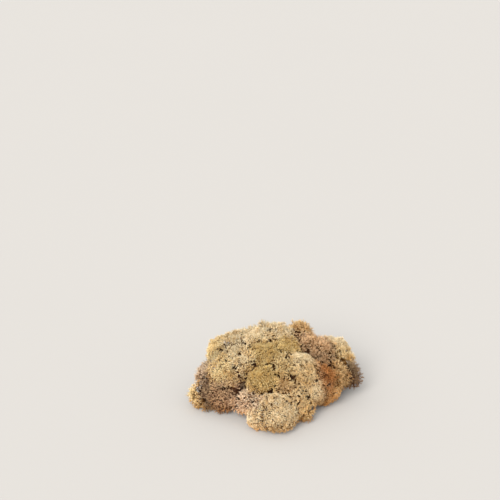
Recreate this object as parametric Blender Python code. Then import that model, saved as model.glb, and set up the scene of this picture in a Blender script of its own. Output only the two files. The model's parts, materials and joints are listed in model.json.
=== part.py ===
"""Reindeer moss clump: rounded heads of branching lichen grown together on a mound of their own old stems.

Every head is a small closed core whose open faces are raised into forked branchlets. The heads press on each
other and on the mound along flat contact planes that leave a hairline gap, so no two pieces overlap.
Run with: blender --background --python part.py
"""

import math
import random

import bmesh
import bpy
from mathutils import Vector, noise

MM = 0.001

# Driving dimensions, in millimetres
CONTACT_GAP = 0.3        # clearance left between two pieces that press on each other
FACE_AREA = 46.0         # core surface that carries one forked branchlet
FLOOR_CLEARANCE = 0.4    # heads stop this far above the surface, the mound alone rests on it
FILL_REACH = 1.35        # share of its radius that a head swells to on the side of the mound
SIDE_REACH = 1.04        # share of its radius that a head swells to between its neighbours
TOUCHING = 1.05          # heads touch up to this multiple of their two radii between their middles
SHY_OF_CONTACT = 0.92    # branchlets use this share of the room in front of a neighbour
LEAST_BRANCHLET = 0.11   # share of the radius: a shorter branchlet is left out and its face stays plain
FORK_FROM, FORK_TO = 0.40, 0.52   # a branchlet forks between these shares of its height
HUB_SINK = 0.12          # share of a branchlet's height that its fork is sunk between the prongs
SHORTEST_PRONG = 0.95    # prongs of one branchlet end between this share of its height and all of it
FEWEST_CORNERS = 16      # of the ball that a small head is raised from
BROAD_LOBE = {"pitch": 1.7, "swell": 0.13}
SMALL_LOBE = {"pitch": 4.1, "swell": 0.07}

# Where the mound of old stems lies and how far it may swell, in millimetres
MOUND_CENTRE = Vector((3.0, 2.0, 22.0))
MOUND_REACH = Vector((62.0, 44.0, 30.0))
MOUND_KEEL = 24.0        # how far it would swell downwards, if the surface did not flatten it
MOUND_SPINE = (Vector((-42.0, -6.0, 9.0)), Vector((46.0, 14.0, 9.0)))
MOUND_HOLD = 0.72        # share of a head's radius between its middle and the mound
MOUND_FACE_AREA = 60.0
MOUND_LOBES = 3.1        # seed of the lobes of the mound
STEM_STUB = 4.0          # how far a broken old stem stands out of the mound
STUBS_ABOVE = 11.0       # height from which the mound has them

# How each growth habit branches: core share of the radius, branchlet width share, splay, raggedness
HABITS = {
    "dense": {"core": 0.76, "waist": 0.60, "splay": 0.58, "ragged": 0.05},
    "fine": {"core": 0.77, "waist": 0.64, "splay": 0.48, "ragged": 0.04},
    "lacy": {"core": 0.66, "waist": 0.48, "splay": 0.85, "ragged": 0.12},
}

# Finish colours as linear RGB, with the roughness of dry lichen
TONES = {
    "cream": (0.63, 0.49, 0.28),
    "straw": (0.56, 0.40, 0.17),
    "peach": (0.56, 0.36, 0.16),
    "gold": (0.42, 0.27, 0.09),
    "tan": (0.42, 0.26, 0.10),
    "rust": (0.30, 0.13, 0.04),
    "taupe": (0.36, 0.24, 0.13),
    "mauve": (0.34, 0.21, 0.13),
    "old_stem": (0.20, 0.12, 0.06),
}
DRY_ROUGHNESS = 0.85

# Heads: name, middle in millimetres, radius in millimetres, habit, tone
HEADS = (
    ("top_cream", (-15, 12, 54), 16.0, "dense", "cream"),
    ("top_right_cream", (8, 22, 54), 15.5, "dense", "cream"),
    ("top_middle_gold", (13, 3, 50), 13.5, "dense", "gold"),
    ("back_crown", (-7, 37, 55), 16.5, "lacy", "cream"),
    ("upper_left_cream", (-36, 22, 47), 15.5, "dense", "cream"),
    ("left_crown_cream", (-34, 3, 45), 13.0, "lacy", "cream"),
    ("left_corner_straw", (-55, 19, 44), 14.0, "fine", "straw"),
    ("left_crease_straw", (-50, 5, 37), 13.0, "fine", "straw"),
    ("back_right_tan", (31, 41, 54), 14.5, "lacy", "tan"),
    ("right_shoulder_tan", (33, 22, 47), 12.5, "lacy", "taupe"),
    ("right_back_straw", (66, 33, 38), 16.0, "dense", "straw"),
    ("right_drop_tan", (68, 19, 30), 12.5, "lacy", "tan"),
    ("right_inner_taupe", (49, 22, 40), 13.5, "lacy", "taupe"),
    ("right_middle_taupe", (48, 5, 37), 13.0, "lacy", "taupe"),
    ("right_edge_mauve", (76, 10, 21), 13.0, "lacy", "mauve"),
    ("right_side_tan", (66, -4, 26), 15.0, "lacy", "tan"),
    ("right_rust", (51, -13, 30), 14.0, "dense", "rust"),
    ("right_foot_tan", (56, -17, 13), 11.0, "dense", "tan"),
    ("right_upper_cream", (27, -13, 46), 15.0, "fine", "cream"),
    ("right_middle_peach", (29, -27, 36), 14.0, "fine", "peach"),
    ("right_lower_cream", (37, -33, 24), 13.0, "dense", "cream"),
    ("front_right_peach", (23, -46, 17), 12.5, "fine", "peach"),
    ("front_right_foot", (30, -48, 9), 9.0, "lacy", "tan"),
    ("front_cream", (3, -65, 18), 17.5, "dense", "cream"),
    ("front_left_nub", (-19, -60, 8), 8.0, "fine", "straw"),
    ("front_left_pink", (-24, -42, 17), 13.0, "lacy", "taupe"),
    ("left_hollow_mauve", (-30, -24, 28), 11.0, "lacy", "mauve"),
    ("left_front_mauve", (-46, -31, 17), 14.5, "lacy", "mauve"),
    ("left_lower_mauve", (-61, -22, 15), 13.0, "lacy", "mauve"),
    ("left_tip_straw", (-75, -20, 12), 10.0, "lacy", "straw"),
    ("left_side_pink", (-64, -3, 25), 12.0, "lacy", "taupe"),
    ("left_yellow", (-47, -14, 33), 15.0, "fine", "straw"),
    ("centre_left_cream", (-27, -14, 43), 14.5, "lacy", "cream"),
    ("centre_olive", (-8, -10, 49), 15.5, "fine", "gold"),
    ("centre_right_lacy", (8, -23, 43), 13.5, "lacy", "straw"),
    ("centre_gold", (-8, -34, 35), 16.0, "dense", "gold"),
    ("centre_low_tan", (11, -38, 29), 14.0, "lacy", "tan"),
    ("back_left_tan", (-41, 31, 25), 15.5, "dense", "tan"),
    ("back_middle_straw", (-14, 45, 30), 16.5, "dense", "straw"),
    ("back_foot_mauve", (7, 52, 15), 14.0, "lacy", "mauve"),
    ("back_shoulder_straw", (14, 47, 37), 14.0, "dense", "straw"),
    ("back_right_taupe", (37, 49, 29), 16.0, "lacy", "taupe"),
    ("back_corner_tan", (57, 45, 18), 14.5, "dense", "tan"),
    ("right_back_foot", (72, 28, 13), 11.5, "lacy", "mauve"),
    ("left_back_mauve", (-62, 13, 18), 13.5, "lacy", "mauve"),
    ("back_left_foot", (-22, 38, 11), 11.0, "lacy", "mauve"),
)


def clear_scene():
    for old in list(bpy.data.objects):
        bpy.data.objects.remove(old)


def finish_of(tone):
    """One dry, matt material for each tone, shared by the pieces that have it."""
    made = bpy.data.materials.get(tone)
    if made:
        return made
    made = bpy.data.materials.new(tone)
    made.use_nodes = True
    shader = made.node_tree.nodes["Principled BSDF"]
    shader.inputs["Base Color"].default_value = (*TONES[tone], 1.0)
    shader.inputs["Roughness"].default_value = DRY_ROUGHNESS
    shader.inputs["Metallic"].default_value = 0.0
    return made


def nearest_on_segment(point, start, end):
    along = end - start
    share = max(0.0, min(1.0, (point - start).dot(along) / along.length_squared))
    return start + share * along


def planes_between_heads(index):
    """Half spaces that hold a head: for each neighbour, the plane of equal tangent length to both balls.

    Each is a normal, an offset, and whether the two heads are near enough to touch on it.
    """
    middle, radius = Vector(HEADS[index][1]), HEADS[index][2]
    planes = []
    for other, (_, place, other_radius, _, _) in enumerate(HEADS):
        if other == index:
            continue
        across = Vector(place) - middle
        span = across.length
        reach = (span**2 + radius**2 - other_radius**2) / (2 * span)
        normal = across / span
        touching = span < TOUCHING * (radius + other_radius)
        planes.append((normal, normal.dot(middle) + reach - CONTACT_GAP / 2, touching))
    return planes


def plane_to_mound(index):
    """The plane under a head that faces the mound, as its outward normal from the mound and its offset."""
    middle, radius = Vector(HEADS[index][1]), HEADS[index][2]
    outward = (middle - nearest_on_segment(middle, *MOUND_SPINE)).normalized()
    return outward, outward.dot(middle) - MOUND_HOLD * radius


def room_along(middle, direction, planes):
    """How far one can go from the middle before a plane stops the way."""
    room = math.inf
    for normal, offset, _ in planes:
        facing = normal.dot(direction)
        if facing > 1e-6:
            room = min(room, (offset - normal.dot(middle)) / facing)
    return room


def touch_points(middle, planes):
    """Directions in which a plane that is touched stops the way before any other does."""
    points = []
    for normal, offset, touching in planes:
        straight = offset - normal.dot(middle)
        if touching and room_along(middle, normal, planes) > straight - CONTACT_GAP:
            points.append(normal)
    return points


def even_ball(count, turn, anchors):
    """A ball of triangles with its corners evenly on a golden-angle spiral, turned about its axis.

    For each anchor direction the nearest corner is moved onto it. Returns the ball and those corners.
    """
    golden = math.pi * (3 - math.sqrt(5))
    corners = []
    for step in range(count):
        height = 1 - (2 * step + 1) / count
        ring = math.sqrt(1 - height**2)
        angle = golden * step + turn
        corners.append(Vector((ring * math.cos(angle), ring * math.sin(angle), height)))
    free = set(range(count))
    for anchor in anchors:
        nearest = max(free, key=lambda step: corners[step].dot(anchor))
        corners[nearest] = anchor
        free.remove(nearest)
    ball = bmesh.new()
    verts = [ball.verts.new(corner) for corner in corners]
    bmesh.ops.convex_hull(ball, input=verts)
    bmesh.ops.recalc_face_normals(ball, faces=ball.faces)
    return ball, {vert for step, vert in enumerate(verts) if step not in free}


def corners_for(area, face_area):
    """A ball of n corners has 2n - 4 faces."""
    return max(FEWEST_CORNERS, round((area / face_area + 4) / 2))


def lobed(direction, seed):
    """Gentle lobes of a head: broad swellings with smaller ones on them."""
    broad = noise.noise(direction * BROAD_LOBE["pitch"] + Vector((seed, 0, 0)))
    small = noise.noise(direction * SMALL_LOBE["pitch"] + Vector((0, seed, 0)))
    return 1 + BROAD_LOBE["swell"] * broad + SMALL_LOBE["swell"] * small


def prong_places(face, habit):
    """Where the three prongs of a face stand, each towards the middle of one third of the face."""
    middle = face.calc_center_median()
    reach = habit["waist"] * (1 + habit["splay"])
    places = []
    for loop in face.loops:
        third = (loop.vert.co + loop.link_loop_next.vert.co + middle) / 3
        places.append((middle + (third - middle) * reach).normalized())
    return places


def raise_branchlets(ball, sites, habit, rng):
    """Turns each listed face into a stem with three splayed prongs, inside the face's own radial wedge."""
    raised = bmesh.ops.extrude_discrete_faces(ball, faces=[face for face, _ in sites])["faces"]
    for cap, (_, top) in zip(raised, sites):
        foot = cap.calc_center_median()
        height = top - foot.length
        fork = foot.normalized() * (foot.length + height * rng.uniform(FORK_FROM, FORK_TO))
        for vert in cap.verts:
            vert.co = fork + (vert.co - foot) * habit["waist"]
        hollow = bmesh.ops.poke(ball, faces=[cap])
        hub = hollow["verts"][0]
        hub.co = hub.co.normalized() * (fork.length - HUB_SINK * height)
        for prong in bmesh.ops.poke(ball, faces=hollow["faces"])["verts"]:
            aside = prong.co - fork
            out = top * rng.uniform(SHORTEST_PRONG, 1.0)
            prong.co = fork.normalized() * out + aside * (1 + habit["splay"]) * out / fork.length


def head_mesh(index):
    """A head in millimetres about its own middle."""
    name, place, radius, habit_name, _ = HEADS[index]
    habit = HABITS[habit_name]
    middle = Vector(place)
    rng = random.Random(name)
    seed = 7.3 * (index + 1)
    outward, offset = plane_to_mound(index)
    planes = planes_between_heads(index)
    planes.append((-outward, -(offset + CONTACT_GAP / 2), True))
    planes.append((Vector((0, 0, -1)), -FLOOR_CLEARANCE, False))

    def room_of(direction):
        return room_along(middle, direction, planes)

    def tip_of(direction):
        free = radius * lobed(direction, seed) * rng.uniform(1 - habit["ragged"], 1 + habit["ragged"])
        return min(free, SHY_OF_CONTACT * room_of(direction))

    corners = corners_for(4 * math.pi * radius**2, FACE_AREA)
    ball, touching = even_ball(corners, rng.uniform(0, math.tau), touch_points(middle, planes))
    least = (habit["core"] + LEAST_BRANCHLET) * radius
    sites = []
    for face in ball.faces:
        top = min(tip_of(direction) for direction in prong_places(face, habit))
        if top > least and touching.isdisjoint(face.verts):
            sites.append((face, top))
    branched = {vert for face, _ in sites for vert in face.verts}
    for vert in ball.verts:
        direction = vert.co.normalized()
        room = room_of(direction)
        reach = radius * (FILL_REACH if direction.dot(outward) < 0 else SIDE_REACH)
        if vert in branched or room > reach:
            reach = habit["core"] * radius * lobed(direction, seed)
        vert.co = direction * (room if vert in touching else min(room, reach))
    raise_branchlets(ball, sites, habit, rng)
    return ball


def mound_mesh():
    """The mound of old stems in millimetres about its own middle, hollowed to every head's contact plane."""
    planes = []
    anchors = []
    for index, (_, place, radius, _, _) in enumerate(HEADS):
        outward, offset = plane_to_mound(index)
        planes.append((outward, offset - CONTACT_GAP / 2, True))
        anchors.append(Vector(place) - outward * (MOUND_HOLD * radius + CONTACT_GAP / 2) - MOUND_CENTRE)
    planes.append((Vector((0, 0, -1)), 0.0, False))

    def room_of(direction):
        return room_along(MOUND_CENTRE, direction, planes)

    def free_reach(direction):
        spread = Vector(direction[axis] / MOUND_REACH[axis] for axis in range(3))
        if direction.z < 0:
            spread.z = direction.z / MOUND_KEEL
        return lobed(direction, MOUND_LOBES) / spread.length

    reached = []
    for anchor in anchors:
        direction = anchor.normalized()
        if min(free_reach(direction), room_of(direction)) > anchor.length - CONTACT_GAP:
            reached.append(direction)
    mean_reach = sum(MOUND_REACH) / 3
    ball, _ = even_ball(corners_for(4 * math.pi * mean_reach**2, MOUND_FACE_AREA), 0.0, reached)
    for vert in ball.verts:
        direction = vert.co.normalized()
        vert.co = direction * min(room_of(direction), free_reach(direction))
    clear = []
    for face in ball.faces:
        foot = face.calc_center_median()
        spare = SHY_OF_CONTACT * room_of(foot.normalized()) - foot.length
        if foot.z + MOUND_CENTRE.z > STUBS_ABOVE and spare > STEM_STUB:
            clear.append(face)
    for tip in bmesh.ops.poke(ball, faces=clear)["verts"]:
        tip.co += tip.co.normalized() * STEM_STUB
    return ball


def add_piece(name, ball, middle, tone, parent):
    mesh = bpy.data.meshes.new(name)
    bmesh.ops.scale(ball, vec=(MM, MM, MM), verts=ball.verts)
    bmesh.ops.recalc_face_normals(ball, faces=ball.faces)
    ball.to_mesh(mesh)
    ball.free()
    mesh.materials.append(finish_of(tone))
    piece = bpy.data.objects.new(name, mesh)
    piece.location = middle * MM
    piece.parent = parent
    bpy.context.scene.collection.objects.link(piece)
    return piece


def centre_over_origin(parent, pieces):
    """Shifts the clump so that the middle of its base, seen from above, is the origin."""
    corners = [piece.location + vert.co for piece in pieces for vert in piece.data.vertices]
    low = Vector(map(min, *corners))
    high = Vector(map(max, *corners))
    parent.location = (-(low.x + high.x) / 2, -(low.y + high.y) / 2, -low.z)


def main():
    clear_scene()
    clump = bpy.data.objects.new("clump", None)
    bpy.context.scene.collection.objects.link(clump)
    pieces = [add_piece("old_stems", mound_mesh(), MOUND_CENTRE, "old_stem", clump)]
    for index, (name, place, _, _, tone) in enumerate(HEADS):
        pieces.append(add_piece(name, head_mesh(index), Vector(place), tone, clump))
    centre_over_origin(clump, pieces)


main()
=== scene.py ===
import json
import math

import bmesh
import bpy
import numpy as np
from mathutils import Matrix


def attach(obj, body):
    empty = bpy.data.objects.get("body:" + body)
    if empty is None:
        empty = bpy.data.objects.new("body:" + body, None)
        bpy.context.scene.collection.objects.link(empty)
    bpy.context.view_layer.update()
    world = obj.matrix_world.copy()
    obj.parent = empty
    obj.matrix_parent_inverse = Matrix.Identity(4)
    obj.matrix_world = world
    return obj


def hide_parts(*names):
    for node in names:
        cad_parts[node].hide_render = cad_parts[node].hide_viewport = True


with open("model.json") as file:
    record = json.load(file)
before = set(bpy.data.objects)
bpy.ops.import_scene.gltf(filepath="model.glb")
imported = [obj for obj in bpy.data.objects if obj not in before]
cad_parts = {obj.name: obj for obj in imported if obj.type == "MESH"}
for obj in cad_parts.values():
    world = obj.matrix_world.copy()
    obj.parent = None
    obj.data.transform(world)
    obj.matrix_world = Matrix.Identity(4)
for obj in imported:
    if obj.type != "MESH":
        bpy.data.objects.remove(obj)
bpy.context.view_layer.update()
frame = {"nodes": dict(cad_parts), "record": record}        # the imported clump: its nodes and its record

mm = 0.001
scene = bpy.context.scene
print("frame loaded:", len(frame["nodes"]), "nodes")


# Camera: at the photograph's viewing angle, looking down on the clump from its front

cameraView = {
    "height": 0.5327,        # metres above the surface
    "back": 0.9213,          # metres from the middle of the clump, along -Y
    "left": 0.0242,          # metres from the middle of the clump, along -X
    "pitchDown": 21.85,      # degrees below the horizon
    "lens": 75.2,            # millimetres
    "frameWidth": 36,        # millimetres
    "nearest": 0.01,         # metres
}


def placeCamera(look):
    # in front of the clump; a camera looks straight down at 0 degrees and level at 90
    camera = bpy.data.cameras.new("studio_camera")
    camera.lens = look["lens"]
    camera.sensor_width = look["frameWidth"]
    camera.clip_start = look["nearest"]
    holder = bpy.data.objects.new("studio_camera", camera)
    holder.location = (-look["left"], -look["back"], look["height"])
    holder.rotation_euler = (math.radians(90 - look["pitchDown"]), 0, 0)
    scene.collection.objects.link(holder)
    scene.camera = holder


placeCamera(cameraView)
print("camera placed")


# Colour and node helpers

def linear(code, alpha=1.0):
    # sRGB hex to linear: the power curve of 2.4 above the short straight foot of the standard
    parts = [int(code[place:place + 2], 16) / 255 for place in (1, 3, 5)]
    return tuple(p / 12.92 if p <= 0.04045 else ((p + 0.055) / 1.055) ** 2.4 for p in parts) + (alpha,)


def addNode(tree, kind, settings=None, links=None):
    # adds a node; a setting is an attribute, or a socket's value when its key is a socket name or number
    node = tree.nodes.new(kind)
    for key, value in (settings or {}).items():
        if isinstance(key, str) and hasattr(node, key):
            setattr(node, key, value)
        else:
            node.inputs[key].default_value = value
    for key, source in (links or {}).items():
        tree.links.new(source, node.inputs[key])
    return node


def newFinish(name):
    # a material with an empty node tree
    material = bpy.data.materials.new(name)
    material.use_nodes = True
    tree = material.node_tree
    tree.nodes.clear()
    return material, tree


# Studio: a sheet of pale matt paper, a large soft key from above on the left, and even fill all round

studioLook = {
    "paper": "#b5b4b2",
    "paperHalfWidth": 6.0,        # metres
    "paperRoughness": 0.9,
    "paperGloss": 0.2,            # specular level
    "cloudWidth": 2 / 3,          # metres across a faint cloud in the paper's tone
    "cloudDarkness": 0.985,       # what such a cloud leaves of the tone
    "air": "#f8f6f4",
    "airStrength": 0.94,
    "keyPlace": (-1.0, 0.4, 1.5),     # metres; a sun's light doesn't depend on it
    "keyTilt": (50, -24, 0),      # degrees, so that the light falls from above, from the left and from the front
    "keyAngle": 42,               # degrees across, as a large softbox looks from the table
    "keyStrength": 4.65,
    "keyColour": "#fffaf4",
}


def paperFinish(look):
    # matt studio paper: no gloss, a faint cloudiness many centimetres wide
    material, tree = newFinish("matt_studio_paper")
    place = addNode(tree, "ShaderNodeTexCoord")
    cloud = addNode(tree, "ShaderNodeTexNoise", {"Scale": 1 / look["cloudWidth"], "Detail": 2.0},
                    {"Vector": place.outputs["Object"]})
    paper = linear(look["paper"])
    darker = tuple(look["cloudDarkness"] * part for part in paper[:3]) + (1.0,)
    tint = addNode(tree, "ShaderNodeMix", {"data_type": "RGBA", 6: paper, 7: darker}, {0: cloud.outputs["Fac"]})
    shader = addNode(tree, "ShaderNodeBsdfPrincipled",
                     {"Roughness": look["paperRoughness"], "Specular IOR Level": look["paperGloss"]},
                     {"Base Color": tint.outputs[2]})
    addNode(tree, "ShaderNodeOutputMaterial", links={"Surface": shader.outputs["BSDF"]})
    return material


def layStudio(look):
    # a square sheet in the surface's plane, one sun for the softbox, and air that is equally bright all round
    half = look["paperHalfWidth"]
    mesh = bpy.data.meshes.new("studio_floor")
    mesh.from_pydata([(-half, -half, 0), (half, -half, 0), (half, half, 0), (-half, half, 0)], [], [(0, 1, 2, 3)])
    mesh.materials.append(paperFinish(look))
    floor = bpy.data.objects.new("studio_floor", mesh)
    scene.collection.objects.link(floor)

    world = bpy.data.worlds.new("studio_air")
    scene.world = world
    world.use_nodes = True
    air = world.node_tree.nodes["Background"]
    air.inputs["Color"].default_value = linear(look["air"])
    air.inputs["Strength"].default_value = look["airStrength"]

    key = bpy.data.lights.new("soft_key", "SUN")
    key.angle = math.radians(look["keyAngle"])
    key.energy = look["keyStrength"]
    key.color = linear(look["keyColour"])[:3]
    holder = bpy.data.objects.new("soft_key", key)
    holder.location = look["keyPlace"]
    holder.rotation_euler = [math.radians(part) for part in look["keyTilt"]]
    scene.collection.objects.link(holder)


layStudio(studioLook)
scene.view_settings.view_transform = "Standard"
print("studio laid")


# Lichen finishes: dry Cladonia, matt and slightly waxy, palest at the tips, brown where the branches are old and
# browner with painted shade where they lie deep

# each tone's old colour is that of old wood and also stands as painted shade for the deep inside of a head
lichenTones = {
    "cream": {"old": "#6b481f", "branch": "#e0c493", "tip": "#faf0d1", "patch": "#d6b37e"},
    "straw": {"old": "#68461e", "branch": "#debe82", "tip": "#f8eabb", "patch": "#d0a866"},
    "peach": {"old": "#6e461c", "branch": "#e4bb77", "tip": "#f7e0a8", "patch": "#d8a460"},
    "gold": {"old": "#573b15", "branch": "#be9b55", "tip": "#e4d098", "patch": "#b08743"},
    "tan": {"old": "#4e2f13", "branch": "#cea366", "tip": "#f6dda7", "patch": "#b18049"},
    "rust": {"old": "#46240c", "branch": "#a65a1a", "tip": "#d48a36", "patch": "#854712"},
    "taupe": {"old": "#4b3019", "branch": "#be9468", "tip": "#f0d0a6", "patch": "#99714c"},
    "mauve": {"old": "#3d261b", "branch": "#906b4e", "tip": "#cba880", "patch": "#70503c"},
    "pinkCream": {"old": "#614633", "branch": "#debb95", "tip": "#fbead0", "patch": "#cba584"},
    "old_stem": {"old": "#4a2e16", "branch": "#8a5f38", "tip": "#b18659", "patch": "#634124"},
}
lichenSurface = {
    "roughness": 0.88,
    "waxiness": 0.25,        # specular level
    "oldAndShadedUpTo": 0.22,         # age, from 0 at the root to 1 at the tip, up to which wood has its old colour: real old wood, and painted shade for the deep inside
    "branchAt": 0.62,        # age at which it has the branch colour
    "tipFrom": 0.92,         # age from which it has the tip colour
    "patchWidth": 9.0,       # millimetres across a patch of older growth
    "patchEdge": (0.42, 0.68),     # noise at which a patch begins and is full
    "patchShare": 0.65,      # of the patch colour, where a patch is full
    "grainWidth": 0.35,      # millimetres across the felted grain of a branch
    "grainHeight": 0.05,     # millimetres
    "grainStrength": 0.5,
    "strandSpread": 0.20,    # how far one branchlet is lighter or darker than the next
}


def lichenFinish(slot, tone, look):
    # dry lichen: the age attribute runs from the old inner wood to the young tips and sets the colour, so deep branches
    # are darker, partly as real old wood and partly as painted shade; the strand attribute makes each branchlet a
    # little lighter or darker, patches of older growth lie over both, and the drift attribute shifts the colour towards
    # a neighbouring head's near a seam, towards brown underneath, partly as painted shade, darker as painted shade in
    # the valleys between heads, and lighter or darker for each head, partly as painted light and shade
    material, tree = newFinish("dry_lichen_" + slot)
    ageAndShade = addNode(tree, "ShaderNodeAttribute", {"attribute_name": "ageAndShade"})
    strand = addNode(tree, "ShaderNodeAttribute", {"attribute_name": "strand"})
    drift = addNode(tree, "ShaderNodeAttribute", {"attribute_name": "drift"})
    place = addNode(tree, "ShaderNodeTexCoord")
    # the ramp from the old colour to the tip colour: partly real ageing, partly painted shade, darker the deeper a
    # branch lies
    ramp = addNode(tree, "ShaderNodeValToRGB", links={"Fac": ageAndShade.outputs["Fac"]})
    stops = ramp.color_ramp.elements
    stops[0].position, stops[0].color = look["oldAndShadedUpTo"], linear(tone["old"])
    stops[1].position, stops[1].color = look["branchAt"], linear(tone["branch"])
    tipStop = stops.new(look["tipFrom"])
    tipStop.color = linear(tone["tip"])
    patch = addNode(tree, "ShaderNodeTexNoise", {"Scale": 1 / (look["patchWidth"] * mm), "Detail": 3.0},
                    {"Vector": place.outputs["Object"]})
    begin, full = look["patchEdge"]
    spread = addNode(tree, "ShaderNodeMapRange", {"From Min": begin, "From Max": full, "To Max": look["patchShare"]},
                     {"Value": patch.outputs["Fac"]})
    worn = addNode(tree, "ShaderNodeMix", {"data_type": "RGBA", 7: linear(tone["patch"])},
                   {0: spread.outputs["Result"], 6: ramp.outputs["Color"]})
    drifted = addNode(tree, "ShaderNodeVectorMath", {"operation": "MULTIPLY"},
                      {0: worn.outputs[2], 1: drift.outputs["Vector"]})
    shade = addNode(tree, "ShaderNodeMapRange",
                    {"To Min": 1 - look["strandSpread"], "To Max": 1 + look["strandSpread"]},
                    {"Value": strand.outputs["Fac"]})
    tint = addNode(tree, "ShaderNodeHueSaturation",
                   links={"Value": shade.outputs["Result"], "Color": drifted.outputs["Vector"]})
    grain = addNode(tree, "ShaderNodeTexNoise", {"Scale": 1 / (look["grainWidth"] * mm), "Detail": 1.0},
                    {"Vector": place.outputs["Object"]})
    felt = addNode(tree, "ShaderNodeBump", {"Strength": look["grainStrength"], "Distance": look["grainHeight"] * mm},
                   {"Height": grain.outputs["Fac"]})
    shader = addNode(tree, "ShaderNodeBsdfPrincipled",
                     {"Roughness": look["roughness"], "Specular IOR Level": look["waxiness"]},
                     {"Base Color": tint.outputs["Color"], "Normal": felt.outputs["Normal"]})
    addNode(tree, "ShaderNodeOutputMaterial", links={"Surface": shader.outputs["BSDF"]})
    return material


finishes = {slot: lichenFinish(slot, tone, lichenSurface) for slot, tone in lichenTones.items()}
slotOf = {part["node"]: part["material_slot"] for part in frame["record"]["subparts"]}
print("finishes made:", len(finishes))


# Heads: the middle and reach of each ball of growth, in millimetres, and its habit. Most repeat their solid's own
# values; seventeen stand up to 5 mm aside or are a little larger or smaller, to follow the photographed outline

headPlan = {
    "top_cream": (-16.8, 20.4, 54, 16.0, "dense"),
    "top_right_cream": (6.2, 30.4, 54, 15.5, "dense"),
    "top_middle_gold": (11.2, 11.4, 50, 13.5, "dense"),
    "back_crown": (-8.8, 43.4, 51, 15.5, "lacy"),
    "upper_left_cream": (-37.8, 30.4, 47, 15.5, "dense"),
    "left_crown_cream": (-36.3, 11.9, 46.5, 13.8, "lacy"),
    "left_corner_straw": (-56.8, 27.4, 42, 13.5, "fine"),
    "left_crease_straw": (-51.8, 13.4, 37, 13.0, "fine"),
    "back_right_tan": (27.7, 49.4, 51.5, 13.5, "lacy"),
    "right_shoulder_tan": (31.2, 30.4, 47, 12.5, "lacy"),
    "right_back_straw": (63.5, 41.4, 35, 16.0, "dense"),
    "right_drop_tan": (67.0, 25.4, 31.5, 13.0, "lacy"),
    "right_inner_taupe": (47.2, 26.4, 42.5, 14.0, "lacy"),
    "right_middle_taupe": (46.2, 13.4, 37, 13.0, "lacy"),
    "right_edge_mauve": (74.2, 14.4, 22, 13.5, "lacy"),
    "right_side_tan": (62.0, 3.4, 26, 14.0, "lacy"),
    "right_rust": (46.5, -6.0, 28.0, 14.0, "dense"),
    "right_foot_tan": (52.2, -8.6, 14.5, 11.5, "dense"),
    "right_upper_cream": (24.0, -8.6, 43.5, 13.0, "felt"),
    "right_middle_peach": (27.2, -17.6, 34.5, 12.5, "felt"),
    "right_lower_cream": (35.2, -24.6, 24, 13.0, "dense"),
    "front_right_peach": (21.2, -37.6, 17, 12.5, "fine"),
    "front_right_foot": (28.2, -39.6, 9, 9.0, "lacy"),
    "front_cream": (3.4, -56.0, 18.0, 15.6, "dense"),
    "front_left_nub": (-17.8, -53.0, 9.5, 9.3, "felt"),
    "front_left_pink": (-25.8, -33.6, 17, 13.0, "lacy"),
    "left_hollow_mauve": (-31.0, -19.0, 24.5, 9.0, "lacy"),
    "left_front_mauve": (-47.8, -22.6, 17, 14.5, "lacy"),
    "left_lower_mauve": (-62.8, -13.6, 15, 13.0, "lacy"),
    "left_tip_straw": (-76.8, -11.6, 12, 10.0, "lacy"),
    "left_side_pink": (-65.8, 5.4, 25, 12.0, "lacy"),
    "left_yellow": (-47.8, -6.6, 33, 15.0, "fine"),
    "centre_left_cream": (-28.8, -5.6, 43, 14.5, "lacy"),
    "centre_olive": (-9.8, -1.6, 49, 15.5, "fine"),
    "centre_right_lacy": (6.2, -14.6, 43, 13.5, "lacy"),
    "centre_gold": (-9.8, -25.6, 35, 16.0, "dense"),
    "centre_low_tan": (9.2, -29.6, 29, 14.0, "lacy"),
    "back_left_tan": (-42.8, 39.4, 25, 15.5, "dense"),
    "back_middle_straw": (-15.8, 53.4, 30, 16.5, "dense"),
    "back_foot_mauve": (5.2, 60.4, 15, 14.0, "lacy"),
    "back_shoulder_straw": (12.2, 55.4, 37, 14.0, "dense"),
    "back_right_taupe": (35.2, 57.4, 29, 16.0, "lacy"),
    "back_corner_tan": (55.2, 53.4, 18, 14.5, "dense"),
    "right_back_foot": (70.2, 36.4, 13, 11.5, "lacy"),
    "left_back_mauve": (-63.8, 21.4, 18, 13.5, "lacy"),
    "back_left_foot": (-23.8, 46.4, 11, 11.0, "lacy"),
}

# smaller lobes that a head puts out over the hollows beside it: middle and reach, in millimetres
sideLobes = {
    "front_cream": [(-4.5, -51.5, 22.5, 10.0), (9.5, -50.0, 21.5, 10.0), (6.5, -60.0, 12.5, 9.5),
                    (-4.0, -60.0, 14, 9.0)],
    "right_upper_cream": [(26.0, -14.5, 38.5, 11.8)],
    "left_yellow": [(-41.0, -14.5, 27.5, 11.0)],
    "right_rust": [(43.5, -12.0, 25.0, 8.5)],
    "front_left_pink": [(-12.5, -42.0, 19, 11.0)],
    "centre_gold": [(-19.0, -14.0, 38, 10.5)],
    "right_lower_cream": [(19.0, -40.0, 26.0, 8.5)],
    "left_tip_straw": [(-71.0, -16.0, 9, 8.0)],
    "back_right_tan": [(22.0, 45.0, 50, 9.0)],
    "right_edge_mauve": [(77.0, 8.0, 24, 8.5)],
    "right_drop_tan": [(70.0, 14.5, 28.5, 8.5)],
    "left_lower_mauve": [(-69.5, -4.0, 17.0, 8.5)],
    "back_right_taupe": [(48.5, 47.0, 33.5, 11.0)],
    "back_shoulder_straw": [(0.0, 50.0, 42.0, 11.0)],
    "back_crown": [(-25.0, 39.5, 47.5, 11.0)],
    "back_left_foot": [(-31.5, 44.0, 17.5, 10.0)],
}

# the mound of old stems as rows of balls (from, to and how many), in millimetres; the heads sit on it, and its larger
# middle ball rests on the surface
mound = {"along": (-35, 37, 5), "across": (-9, 29, 3), "height": 20, "reach": 18, "middleReach": 23.5}

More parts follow.
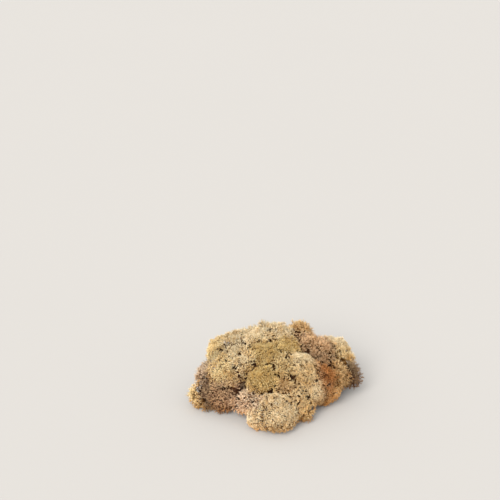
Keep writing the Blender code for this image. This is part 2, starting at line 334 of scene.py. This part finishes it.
# heads whose colour isn't that of their slot's other heads
oddTones = {"front_left_pink": "pinkCream", "left_side_pink": "pinkCream", "front_left_nub": "cream",
            "right_drop_tan": "straw", "right_middle_peach": "straw", "right_back_straw": "cream"}

# heads that are lighter or darker than the others of their tone: partly their own tone, partly painted light
# and shade, lighter where a head lies in shadow, as right_inner_taupe and right_foot_tan, and darker in hollows and
# creases, as left_hollow_mauve and left_crease_straw
oddShadesAndPaintedLight = {"right_edge_mauve": 0.64, "right_middle_taupe": 0.74, "upper_left_cream": 0.88,
             "left_crease_straw": 0.74, "left_side_pink": 0.78, "right_foot_tan": 1.45, "right_inner_taupe": 1.7,
             "front_left_pink": 1.4, "left_front_mauve": 1.22, "left_lower_mauve": 0.82, "left_hollow_mauve": 0.45,
             "centre_low_tan": 0.90, "centre_right_lacy": 0.92, "back_right_tan": 1.25, "left_crown_cream": 0.80,
             "right_side_tan": 0.90, "back_crown": 0.80, "front_left_nub": 1.7, "left_corner_straw": 1.08,
             "front_right_peach": 1.35, "right_upper_cream": 1.2, "left_tip_straw": 1.15, "right_back_straw": 0.96,
             "top_middle_gold": 1.05, "right_drop_tan": 1.10}

# How the habits grow: dense heads are close cauliflowers, felt and fine ones closer still, lacy ones open and curly,
# and woody growth is the dead stems of the mound. In millimetres: the spacing of the whorls, a prong's length and
# thickness, a side tip's length, the width of a bunch of whorls and how far the creases round it sink (bulge), how
# uneven the whorls stand (ragged), how crooked the stems are (wander), and how deep forks and roots lie. A prong
# tilts by spread degrees from its whorl's axis, give or take loose radians. Lobes rise by a share of the head's reach,
# and wisps and under are the shares of whorls that stand out and that lie deeper
habits = {
    "dense": {"spacing": 2.68, "prongs": (4, 6), "prong": 2.90, "thick": 0.60, "tip": 1.45, "spread": 56,
              "loose": 0.24, "bunch": 9.0, "bulge": 1.4, "ragged": 0.70, "wander": 0.45, "fork": 4.6, "root": 7.4,
              "lobe": 0.12, "wisps": 0.05, "under": 0.22},
    "fine": {"spacing": 2.24, "prongs": (4, 5), "prong": 2.45, "thick": 0.52, "tip": 1.25, "spread": 50,
             "loose": 0.24, "bunch": 7.5, "bulge": 1.2, "ragged": 0.55, "wander": 0.30, "fork": 4.0, "root": 6.8,
             "lobe": 0.10, "wisps": 0.03, "under": 0.20},
    "felt": {"spacing": 1.80, "prongs": (4, 5), "prong": 1.95, "thick": 0.48, "tip": 1.00, "spread": 50,
             "loose": 0.20, "bunch": 8.0, "bulge": 0.7, "ragged": 0.30, "wander": 0.20, "fork": 3.6, "root": 6.2,
             "lobe": 0.11, "wisps": 0.02, "under": 0.10},
    "lacy": {"spacing": 3.50, "prongs": (3, 5), "prong": 4.50, "thick": 0.66, "tip": 2.45, "spread": 57,
             "loose": 0.36, "bunch": 8.5, "bulge": 1.6, "ragged": 1.10, "wander": 1.10, "fork": 5.6, "root": 8.2,
             "lobe": 0.13, "wisps": 0.09, "under": 0.24},
    "woody": {"spacing": 5.0, "prongs": (2, 3), "prong": 6.0, "thick": 1.0, "tip": 3.0, "spread": 62,
              "loose": 0.25, "bunch": 9.0, "bulge": 2.0, "ragged": 1.2, "wander": 1.5, "fork": 4.0, "root": 6.0,
              "lobe": 0.06, "wisps": 0.0, "under": 0.0},
}


def toneOf(name):
    # a head's own tone, or else the tone of its slot
    return oddTones.get(name, slotOf[name])


# all balls of growth in one list: the heads' own, then the side lobes, then the mound's
balls = [(name, plan[:4]) for name, plan in headPlan.items()]
balls += [(name, lobe) for name, lobes in sideLobes.items() for lobe in lobes]
rows = [(x, y) for x in np.linspace(*mound["along"]) for y in np.linspace(*mound["across"])]
balls += [("old_stems", (x, y, mound["height"], mound["middleReach" if place == len(rows) // 2 else "reach"]))
          for place, (x, y) in enumerate(rows)]
owners = [name for name, _ in balls]
places = np.array([ball[:3] for _, ball in balls]) * mm
reaches = np.array([ball[3] for _, ball in balls]) * mm
tipColours = np.array([linear(lichenTones[toneOf(name)]["tip"])[:3] for name in owners])
# each ball's factor: its head's own tone, partly painted light and shade
shadesAndPaintedLight = np.array([oddShadesAndPaintedLight.get(name, 1.0) for name in owners])
print("growth planned:", len(balls), "balls")


# The surface that the balls make together, and directions over it

unionRule = {
    "melt": 3.6,             # millimetres over which neighbouring heads run into each other
    "sunk": 1.0,             # millimetres that the surface lies under the balls' own
    "overlap": 2.7,          # millimetres that a head's branchlets reach past the seam
    "walk": (0.25, 1.75),    # shares of a ball's reach between which the surface is looked for
    "step": 0.4,             # millimetres between the places tried along a ray
    "floorGap": 0.5,         # millimetres kept above the surface
}
scatterRule = {
    "fewest": 14,            # directions on a ball
    "shift": 0.24,           # of a spacing, by which each is moved at random
}
lobeRule = {
    "waves": 14,
    "pace": (2.0, 7.5),      # radians that a wave turns through over a ball's radius
    "strength": 2.2,         # over a wave's pace
    "calm": 2.4,             # what the sum of the waves is divided by
}


def unit(vectors):
    # each vector over its length
    return vectors / np.maximum(np.linalg.norm(vectors, axis=-1, keepdims=True), 1e-12)


def evenDirections(count, turn=0.0):
    # golden spiral: heights step evenly from pole to pole while the angle turns by the golden angle
    step = np.arange(count)
    height = 1 - (2 * step + 1) / count
    ring = np.sqrt(1 - height ** 2)
    angle = math.pi * (3 - math.sqrt(5)) * step + turn
    return np.stack([ring * np.cos(angle), ring * np.sin(angle), height], 1)


def scatter(size, spacing, rng):
    # directions about one spacing apart on a ball of the given size, each shifted by part of a spacing; each has a
    # hexagonal cell of 0.866 times the spacing's square
    count = max(scatterRule["fewest"], int(4 * math.pi * size ** 2 / (0.866 * (spacing * mm) ** 2)))
    directions = evenDirections(count, rng.uniform(0, 2 * math.pi))
    return unit(directions + rng.normal(0, scatterRule["shift"] * spacing * mm / size, (count, 3)))


def lobesOf(rng):
    # smooth lobes over a ball: the sum of sines of the direction along random axes, the slower the stronger
    count = lobeRule["waves"]
    waves = unit(rng.normal(size=(count, 3))) * rng.uniform(*lobeRule["pace"], (count, 1))
    starts = rng.uniform(0, 2 * math.pi, count)
    strength = lobeRule["strength"] / np.linalg.norm(waves, axis=1)
    return lambda directions: (np.sin(directions @ waves.T + starts) * strength).sum(1) / lobeRule["calm"]


def depthsAt(points):
    # how far each point lies inside each ball: reach - |point - middle|
    return reaches - np.linalg.norm(points[..., None, :] - places, axis=-1)


def leadOf(depth, index):
    # how much deeper a point lies in this ball than in any other
    return depth[..., index] - np.delete(depth, index, -1).max(-1)


def walkOut(index, directions, swell, inner):
    # along each direction from a ball's middle: the distance to the clump's surface, where
    # swell - sunk + melt log sum exp(depth / melt) = 0 or the floor's gap begins, to the seam, where another ball's
    # depth passes its own, and to the place where that sum is still inner, which lies so far under the surface
    low, high = unionRule["walk"]
    far = np.arange(low * reaches[index], high * reaches[index], unionRule["step"] * mm)
    points = places[index] + directions[:, None] * far[None, :, None]
    depth = depthsAt(points)
    melt = unionRule["melt"] * mm
    union = melt * np.log(np.exp(depth / melt).sum(-1)) + swell[:, None] - unionRule["sunk"] * mm
    union = np.minimum(union, points[..., 2] - unionRule["floorGap"] * mm)

    def firstBelow(values, level):
        # the first distance at which the values are below the level, or else the last distance tried
        under = values < level
        return np.where(under.any(1), far[under.argmax(1)], far[-1])

    return firstBelow(union, 0), firstBelow(leadOf(depth, index), 0), firstBelow(union, inner)


def outwardAt(points):
    # normal of the melted surface: directions from all middles, weighted by how deep the point lies in each ball
    depth = depthsAt(points)
    weight = np.exp((depth - depth.max(-1, keepdims=True)) / (unionRule["melt"] * mm))
    return unit((weight[..., None] * unit(points[..., None, :] - places)).sum(-2))


driftRule = {
    "width": 3.6,                        # millimetres over which one head's colour runs into the next
    "underside": (0.64, 0.49, 0.33),     # what is left of red, green and blue on branchlets that hang face down: the brown of older growth beneath and painted shade
    "brownFrom": 0.15,                   # height of the outward axis where that browning and painted shade start
    "brownTo": -0.65,                    # height where it is full
    "valleyShade": (0.97, 0.93, 0.86),        # painted shade: what is left of the colours in the valley where two heads meet
    "valleyShadeWidth": 3.0,                  # millimetres to either side of that valley for the painted shade
    "palest": 0.91,                      # no branchlet reflects more of a colour than this
}


def driftAt(points, index, lows):
    # shift of colour: the tip colours of all heads weighted by exp(depth / width), over the head's own tip colour,
    # times the head's own tone and painted light and shade, browner the further the outward axis points down (older
    # growth and painted shade) and, as painted shade, the nearer a neighbour's depth comes to the head's own
    depth = depthsAt(points)
    weight = np.exp((depth - depth.max(-1, keepdims=True)) / (driftRule["width"] * mm))
    mixed = weight @ tipColours / weight.sum(-1, keepdims=True)
    # painted shade, partly the real brown of older growth: browner the further the outward axis points down
    underBrownAndShade = (driftRule["brownFrom"] - lows) / (driftRule["brownFrom"] - driftRule["brownTo"])
    underBrownAndShade = np.clip(underBrownAndShade, 0, 1)[:, None]
    # painted shade in the valleys where two heads meet
    valleyShade = np.clip(1 - leadOf(depth, index) / (driftRule["valleyShadeWidth"] * mm), 0, 1)[:, None]
    # the head's factor for its own tone and painted light and shade, and the browning underneath, partly painted shade
    young = mixed * shadesAndPaintedLight[index] * (1 - underBrownAndShade * (1 - np.array(driftRule["underside"])))
    young = young * (1 - valleyShade * (1 - np.array(driftRule["valleyShade"])))
    young = young * np.minimum(1, driftRule["palest"] / young.max(-1, keepdims=True))
    return young / tipColours[index]


# Limbs: each kind's thickness over the habit's, its ages at start and end (low for the deep boughs and stems, so that
# they take the old colour: partly old wood, partly painted shade), its rings as share of the way and share of the
# thickness, and its bend over the habit's wander, or for a prong over its raise

limbs = {
    "bough": {"thick": 1.6, "ageAndShadeEnds": (0.0, 0.22), "rings": ((0.2, 1.0), (0.85, 0.8)), "bend": 1.3},
    "stem": {"thick": 1.15, "ageAndShadeEnds": (0.12, 0.52), "rings": ((0.25, 1.0), (0.85, 0.9)), "bend": 1.0},
    "prong": {"thick": 1.0, "ageAndShadeEnds": (0.38, 1.0), "rings": ((0.0, 0.9), (0.66, 0.78)), "bend": -0.35},
    "tip": {"thick": 0.78, "ageAndShadeEnds": (0.62, 1.0), "rings": ((0.0, 1.0),)},
}


def crossAxes(axis):
    # two unit vectors square to each axis and to each other, so that first x second = axis
    helper = np.where(np.abs(axis[:, 2:]) < 0.9, [[0.0, 0.0, 1.0]], [[1.0, 0.0, 0.0]])
    first = unit(np.cross(helper, axis))
    return first, np.cross(axis, first)


def spindles(kind, starts, ends, thick, tone, drift, bend=None):
    # a closed three-sided spindle from each start to its end: a pole, rings at shares of the way with shares of
    # the thickness, and a pole; a bend moves each ring aside by 4 t (1 - t); a ring at 0 gives a flat foot
    limb = limbs[kind]
    count = len(starts)
    along = ends - starts
    first, second = crossAxes(unit(along))
    shares, widths = np.array(limb["rings"]).T
    centres = starts[:, None] + along[:, None] * shares[None, :, None]
    if bend is not None:
        centres = centres + bend[:, None] * (4 * shares * (1 - shares))[None, :, None]
    angles = np.arange(3) * 2 * math.pi / 3
    circle = first[:, None] * np.cos(angles)[None, :, None] + second[:, None] * np.sin(angles)[None, :, None]
    radius = thick * limb["thick"] * mm / 2 * widths
    belts = centres[:, :, None] + circle[:, None] * radius[None, :, None, None]
    footed = shares[0] == 0
    points = np.concatenate([belts.reshape(count, -1, 3), ends[:, None]] + ([] if footed else [starts[:, None]]), 1)
    last = 3 * len(shares)
    following = [1, 2, 0]
    faces = [(0, 2, 1)] if footed else [(last + 1, following[side], side) for side in range(3)]
    for low in range(0, last - 3, 3):
        for side in range(3):
            faces.append((low + side, low + following[side], low + 3 + following[side]))
            faces.append((low + side, low + 3 + following[side], low + 3 + side))
    faces += [(last, last - 3 + side, last - 3 + following[side]) for side in range(3)]
    way = np.concatenate([np.repeat(shares, 3), [1.0] if footed else [1.0, 0.0]])
    offsets = (np.arange(count) * len(way))[:, None, None]
    return {"points": points.reshape(-1, 3), "faces": (np.array(faces)[None] + offsets).reshape(-1, 3),
            "ageAndShade": np.tile(limb["ageAndShadeEnds"][0] * (1 - way) + limb["ageAndShadeEnds"][1] * way, count),
            "strand": np.repeat(tone, len(way)), "drift": np.repeat(drift, len(way), axis=0)}


def joined(parts):
    # shapes one after the other, with each shape's faces counted on from the points before it
    offset, faces = 0, []
    for part in parts:
        faces.append(part["faces"] + offset)
        offset += len(part["points"])
    return {"points": np.concatenate([part["points"] for part in parts]), "faces": np.concatenate(faces),
            **{key: np.concatenate([part[key] for part in parts]) for key in ("ageAndShade", "strand", "drift")}}


# Old wood and painted shade: a rough dark heart in each head, and one core for all that lies deep under the clump's
# surface; both stand for the old stems inside and, darkened further, for the shade in the tangle

oldWoodAndShade = {
    "points": 620,                   # of a heart
    "rough": 2.6,                    # millimetres
    "leastReach": 0.25,              # of the ball's reach
    "shortOfSeam": 0.2,              # millimetres
    "ageAndShadeEnds": (0.0, 0.30),
    "strand": 0.5,
    "drift": (0.55, 0.45, 0.30),     # what is left of red, green and blue: painted shade that darkens the hearts and the core
}
core = {
    "middle": (1, 10, 24),       # millimetres
    "points": 4200,
    "deep": 7.6,                 # millimetres under the clump's surface
    "rough": 3.0,                # millimetres
    "walk": (2, 92, 0.8),        # millimetres from the middle between which it is looked for, and the step
    "gap": 1.0,                  # millimetres outside the surface that count as a gap
    "lots": 12,                  # in which the directions are worked out, to save memory
}


def closedBlob(middle, directions, reach, rng):
    # the even directions pushed out to their reach; its faces are the convex hull of the directions
    hull = bmesh.new()
    verts = [hull.verts.new(direction) for direction in directions]
    bmesh.ops.convex_hull(hull, input=verts)
    bmesh.ops.recalc_face_normals(hull, faces=hull.faces)
    hull.verts.index_update()
    faces = np.array([[vert.index for vert in face.verts] for face in hull.faces])
    hull.free()
    count = len(directions)
    return {"points": middle + directions * reach[:, None], "faces": faces,
            "ageAndShade": rng.uniform(*oldWoodAndShade["ageAndShadeEnds"], count), "strand": np.full(count, oldWoodAndShade["strand"]),
            "drift": np.tile(oldWoodAndShade["drift"], (count, 1))}


def growCore(look, rng):
    # reach in each direction: the last place where melt log sum exp(depth / melt) passes deep, before any gap
    directions = evenDirections(look["points"])
    middle = np.array(look["middle"]) * mm
    far = np.arange(*look["walk"]) * mm
    melt = unionRule["melt"] * mm
    reach = np.empty(len(directions))
    for lot in np.array_split(np.arange(len(directions)), look["lots"]):
        points = middle + directions[lot, None] * far[None, :, None]
        union = melt * np.log(np.exp(depthsAt(points) / melt).sum(-1))
        union = np.minimum(union, points[..., 2] + look["deep"] * mm)
        whole = np.cumprod(union > -look["gap"] * mm, 1) > 0
        inside = whole & (union > look["deep"] * mm)
        last = inside.shape[1] - 1 - inside[:, ::-1].argmax(1)
        reach[lot] = np.where(inside.any(1), far[last], far[0])
    reach = reach - rng.uniform(0, look["rough"], len(reach)) * mm
    return closedBlob(middle, directions, reach, rng)


# Branchlets: boughs from the old wood, forks, stems, and a star of prongs with side tips at the end of each stem

whorlRule = {
    "outer": 1.05,               # whorls are spaced on a ball this much larger than their own
    "crown": 1.1,                # prongs rise above the whorl's middle by this times prong cos spread
    "standOut": (1.0, 2.8),      # millimetres that wisps stand out
    "lieUnder": (1.2, 2.8),      # millimetres that under whorls lie deeper
    "lean": 0.8,                 # how far an axis leans away from its bunch's middle
    "fullSize": 12,              # millimetres of reach under which branches grow shorter
    "buried": 3,                 # a ball with fewer whorls outside its neighbours shows its heart alone
    "creaseDeepest": 1.6,        # of the bulge
}
forkRule = {
    "spacing": 1.8,              # times the whorls'
    "shortOfSeam": 0.5,          # millimetres
    "leastReach": 0.3,           # of the ball's reach
    "pastSeam": 4,               # millimetres past a seam up to which forks are kept
    "rootShortOfSeam": 1.5,      # millimetres
    "rootLeastReach": 0.2,       # of the ball's reach
    "intoWhorl": 0.25,           # millimetres that a stem runs past its whorl's middle
}
prongRule = {
    "turnLoose": 0.22,           # radians
    "length": (0.75, 1.2),       # shortest and longest, times the habit's
    "shade": 0.12,               # how far a prong's strand value differs from its whorl's
    "raise": (0.05, 0.22),       # of its length, by which it curves up along the axis
}
tipRule = {
    "forks": ((-1, 0.30, 0.50), (1, 0.45, 0.65), (-1, 0.65, 0.80)),     # side, and the shares of the way it lies in
    "swing": (0.5, 1.2),         # sideways, over the prong's own heading
    "lift": (0.1, 0.7),          # towards the axis
    "length": (0.7, 1.2),        # shortest and longest, times the habit's
    "taper": (1.3, 0.6),         # a tip is 1.3 - 0.6 share times as long
    "shown": 0.88,               # share of tips that grow
}


def growProngs(whorls, habit, small, rng):
    # star of prongs round each whorl's axis: turned evenly about it and tilted out from it by the spread
    axes = whorls["axes"]
    few, most = habit["prongs"]
    number = rng.integers(few, most + 1, len(axes))
    first, second = crossAxes(axes)
    slots = np.arange(most)
    turn = (slots[None] / number[:, None] + rng.uniform(0, 1, len(axes))[:, None]) * 2 * math.pi
    turn = turn + rng.normal(0, prongRule["turnLoose"], turn.shape)
    tilt = np.radians(habit["spread"]) + rng.normal(0, habit["loose"], turn.shape)
    sideways = first[:, None] * np.cos(turn)[..., None] + second[:, None] * np.sin(turn)[..., None]
    heading = axes[:, None] * np.cos(tilt)[..., None] + sideways * np.sin(tilt)[..., None]
    keep = slots[None] < number[:, None]
    owner = np.broadcast_to(np.arange(len(axes))[:, None], turn.shape)[keep]
    heading = heading[keep]
    length = habit["prong"] * mm * small * rng.uniform(*prongRule["length"], len(owner))
    tone = np.clip(whorls["tone"][owner] + rng.normal(0, prongRule["shade"], len(owner)), 0, 1)
    raised = axes[owner] * (length * rng.uniform(*prongRule["raise"], len(owner)))[:, None]
    base, reach, drift = whorls["places"][owner], heading * length[:, None] + raised, whorls["drift"][owner]
    prongs = spindles("prong", base, base + heading * length[:, None] + raised, habit["thick"], tone, drift,
                      limbs["prong"]["bend"] * raised)
    return prongs, {"base": base, "reach": reach, "heading": heading, "axes": axes[owner], "tone": tone,
                    "drift": drift}


def growTips(stars, habit, small, rng):
    # short tips fork from each prong, to either side in turn, and turn back towards the whorl's axis
    heading, axes = stars["heading"], stars["axes"]
    count = len(heading)
    across = unit(np.cross(heading, axes))
    longest, taper = tipRule["taper"]
    tips = []
    for side, low, high in tipRule["forks"]:
        swing = rng.uniform(*tipRule["swing"], count)
        lift = rng.uniform(*tipRule["lift"], count)
        way = unit(heading + side * across * swing[:, None] + axes * lift[:, None])
        share = rng.uniform(low, high, count)
        start = stars["base"] + stars["reach"] * share[:, None]
        length = habit["tip"] * mm * small * rng.uniform(*tipRule["length"], count) * (longest - taper * share)
        shown = rng.uniform(0, 1, count) < tipRule["shown"]
        tips.append(spindles("tip", start[shown], (start + way * length[:, None])[shown], habit["thick"],
                             stars["tone"][shown], stars["drift"][shown]))
    return tips


def growBall(index, habit, rng):
    # all growth of one ball, from its heart outwards
    middle, size = places[index], reaches[index]
    small = min(1.0, size / (whorlRule["fullSize"] * mm))
    bunches = scatter(size, habit["bunch"], rng)
    lobes = lobesOf(rng)

    def onSurface(directions):
        # the melted surface, drawn in by the square of the distance from the nearest bunch's middle
        surface, seam, heart = walkOut(index, directions, habit["lobe"] * size * lobes(directions),
                                       habit["root"] * mm * small)
        nearness = directions @ bunches.T
        gap = np.sqrt(np.maximum(0, 2 - 2 * nearness.max(1))) * size / mm
        crease = np.minimum((gap / (habit["bunch"] / 2)) ** 2, whorlRule["creaseDeepest"])
        heart = np.minimum(heart, seam - oldWoodAndShade["shortOfSeam"] * mm)
        return surface - habit["bulge"] * crease * mm * small, seam, nearness.argmax(1), heart

    # dark heart of old wood and painted shade, under the open sides and up to the seams with its neighbours
    inwards = evenDirections(oldWoodAndShade["points"])
    rough = rng.uniform(0, oldWoodAndShade["rough"], len(inwards)) * mm
    reach = np.maximum(onSurface(inwards)[3] - rough, oldWoodAndShade["leastReach"] * size)
    heart = closedBlob(middle, inwards, reach, rng)

    # whorls over the part of the surface that is this ball's own
    hubs = scatter(whorlRule["outer"] * size, habit["spacing"], rng)
    surface, seam, bunchOf, _ = onSurface(hubs)
    ours = surface < seam + unionRule["overlap"] * mm
    if ours.sum() < whorlRule["buried"]:
        return heart
    hubs, surface, bunchOf = hubs[ours], surface[ours], bunchOf[ours]
    count = len(hubs)
    crown = whorlRule["crown"] * habit["prong"] * math.cos(math.radians(habit["spread"])) * mm
    height = rng.normal(0, habit["ragged"], count) * mm
    wispy = rng.uniform(0, 1, count) < habit["wisps"]
    sunken = rng.uniform(0, 1, count) < habit["under"]
    height = height + np.where(wispy, rng.uniform(*whorlRule["standOut"], count), 0) * mm
    height = height - np.where(sunken & ~wispy, rng.uniform(*whorlRule["lieUnder"], count), 0) * mm
    hubPlaces = middle + hubs * (surface + height - crown * small)[:, None]
    axes = unit(outwardAt(hubPlaces) + whorlRule["lean"] * (hubs - bunches[bunchOf]))

    # forks under the whorls, and the boughs' roots under the middles of the bunches
    forks = scatter(size, habit["spacing"] * forkRule["spacing"], rng)
    forkSurface, forkSeam, forkBunch, _ = onSurface(forks)
    forkReach = np.minimum(forkSurface - habit["fork"] * mm * small, forkSeam - forkRule["shortOfSeam"] * mm)
    forkPlaces = middle + forks * np.maximum(forkReach, forkRule["leastReach"] * size)[:, None]
    kept = forkSurface < forkSeam + forkRule["pastSeam"] * mm
    if kept.any():
        forks, forkPlaces, forkBunch = forks[kept], forkPlaces[kept], forkBunch[kept]
    rootSurface, rootSeam, _, _ = onSurface(bunches)
    rootReach = np.minimum(rootSurface - habit["root"] * mm * small, rootSeam - forkRule["rootShortOfSeam"] * mm)
    rootPlaces = middle + bunches * np.maximum(rootReach, forkRule["rootLeastReach"] * size)[:, None]

    # a bough from its root to each fork, and a stem from the nearest fork to each whorl
    forkOf = (hubs @ forks.T).argmax(1)
    tone = rng.uniform(0, 1, count)
    forkTone = rng.uniform(0, 1, len(forks))
    wander = habit["wander"] * mm
    drift = driftAt(hubPlaces, index, axes[:, 2])
    stems = spindles("stem", forkPlaces[forkOf], hubPlaces + axes * forkRule["intoWhorl"] * mm, habit["thick"], tone,
                     drift, rng.normal(0, limbs["stem"]["bend"], (count, 3)) * wander)
    boughs = spindles("bough", rootPlaces[forkBunch], forkPlaces, habit["thick"], forkTone,
                      driftAt(forkPlaces, index, forks[:, 2]),
                      rng.normal(0, limbs["bough"]["bend"], (len(forks), 3)) * wander)

    whorls = {"places": hubPlaces, "axes": axes, "tone": tone, "drift": drift}
    prongs, stars = growProngs(whorls, habit, small, rng)
    return joined([heart, boughs, stems, prongs, *growTips(stars, habit, small, rng)])


# Pieces: one for each head, which replaces its solid, and one for the mound

seeds = {"balls": 1000, "core": 77}


def addPiece(name, shape, node):
    # the shape as one smooth mesh with its attributes; nothing reaches below the surface
    shape["points"][:, 2] = np.maximum(shape["points"][:, 2], 0.0)
    mesh = bpy.data.meshes.new(name)
    count = len(shape["faces"])
    mesh.vertices.add(len(shape["points"]))
    mesh.vertices.foreach_set("co", shape["points"].astype(np.float32).ravel())
    mesh.loops.add(3 * count)
    mesh.loops.foreach_set("vertex_index", shape["faces"].astype(np.int32).ravel())
    mesh.polygons.add(count)
    mesh.polygons.foreach_set("loop_start", np.arange(0, 3 * count, 3, dtype=np.int32))
    mesh.polygons.foreach_set("use_smooth", np.ones(count, bool))
    mesh.update(calc_edges=True)
    for key in ("ageAndShade", "strand"):
        mesh.attributes.new(key, "FLOAT", "POINT").data.foreach_set("value", shape[key].astype(np.float32))
    drift = mesh.attributes.new("drift", "FLOAT_VECTOR", "POINT")
    drift.data.foreach_set("vector", shape["drift"].astype(np.float32).ravel())
    mesh.materials.append(finishes[toneOf(node)])
    piece = bpy.data.objects.new(name, mesh)
    scene.collection.objects.link(piece)
    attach(piece, "root")
    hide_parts(node)
    return count


total = 0
for node in [*headPlan, "old_stems"]:
    isHead = node in headPlan
    habit = habits[headPlan[node][4] if isHead else "woody"]
    grown = [growBall(index, habit, np.random.default_rng(seeds["balls"] + index))
             for index, owner in enumerate(owners) if owner == node]
    if not isHead:
        grown.append(growCore(core, np.random.default_rng(seeds["core"])))
    total += addPiece("branchlets_of_" + node if isHead else "tangle_of_old_stems", joined(grown), node)
print("pieces grown:", len(headPlan) + 1, "with", total, "triangles")
